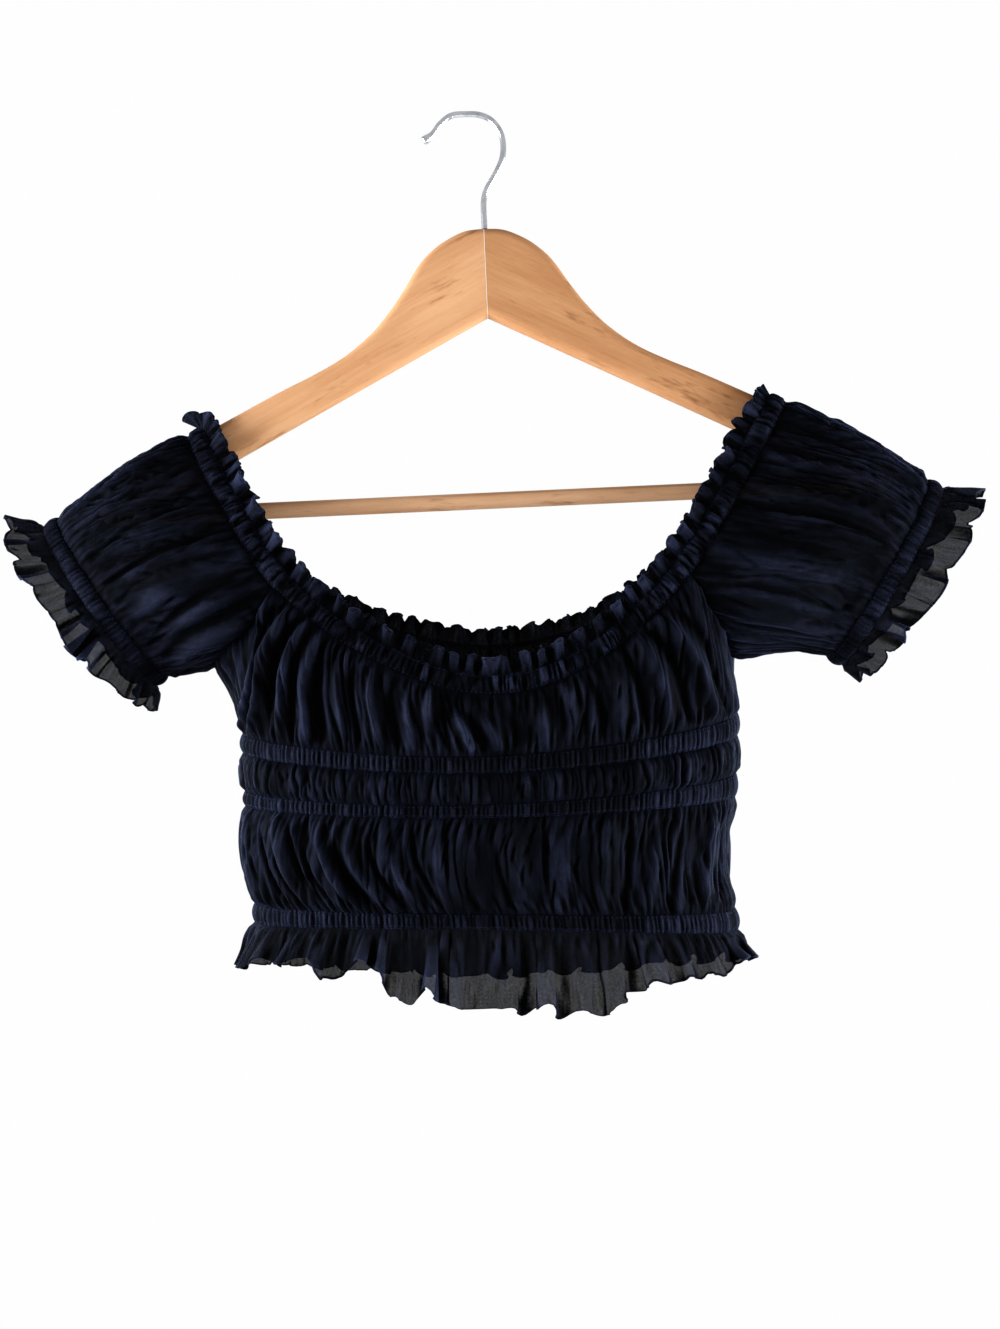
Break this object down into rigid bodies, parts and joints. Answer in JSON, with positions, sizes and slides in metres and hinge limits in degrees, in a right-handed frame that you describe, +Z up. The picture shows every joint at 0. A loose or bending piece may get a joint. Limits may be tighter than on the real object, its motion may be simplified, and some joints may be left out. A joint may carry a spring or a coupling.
{
  "type": "off-shoulder top on a wooden hanger",
  "caption": "Short-sleeved off-shoulder top in dark crinkled voile, gathered and ruffled at the neck, cuffs and hem, on a wooden hanger with a bar and wire hook.",
  "frame": {"origin": "inside of the hook's crown, where the hook rests on what it hangs from", "axes": "+X to the viewer's right along the hanger's arms, +Y away from the viewer, +Z up"},
  "size_m": [0.5312, 0.0998, 0.4846],
  "materials": {
    "voile": "very dark navy, slightly see-through crinkled voile",
    "pale wood": "satin clear lacquer on pale warm wood",
    "wood": "satin clear lacquer on warm wood",
    "bar wood": "smooth turned wood",
    "chrome": "bright plated wire"
  },
  "bodies": {
    "root": {"band_lower": "voile", "band_middle": "voile", "band_upper": "voile", "cuff_band_left": "voile", "cuff_band_right": "voile", "cuff_ruffle_left": "voile", "cuff_ruffle_right": "voile", "hem_ruffle": "voile", "midriff_back": "voile", "midriff_front": "voile", "neck_casing": "voile", "neck_ruffle": "voile", "sleeve_left": "voile", "sleeve_right": "voile", "waist_back": "voile", "waist_front": "voile", "yoke_back": "voile", "yoke_front": "voile", "hanger_arm_left": "pale wood", "hanger_arm_right": "wood", "hanger_bar": "bar wood", "hanger_hook": "chrome"}
  },
  "joints": []
}
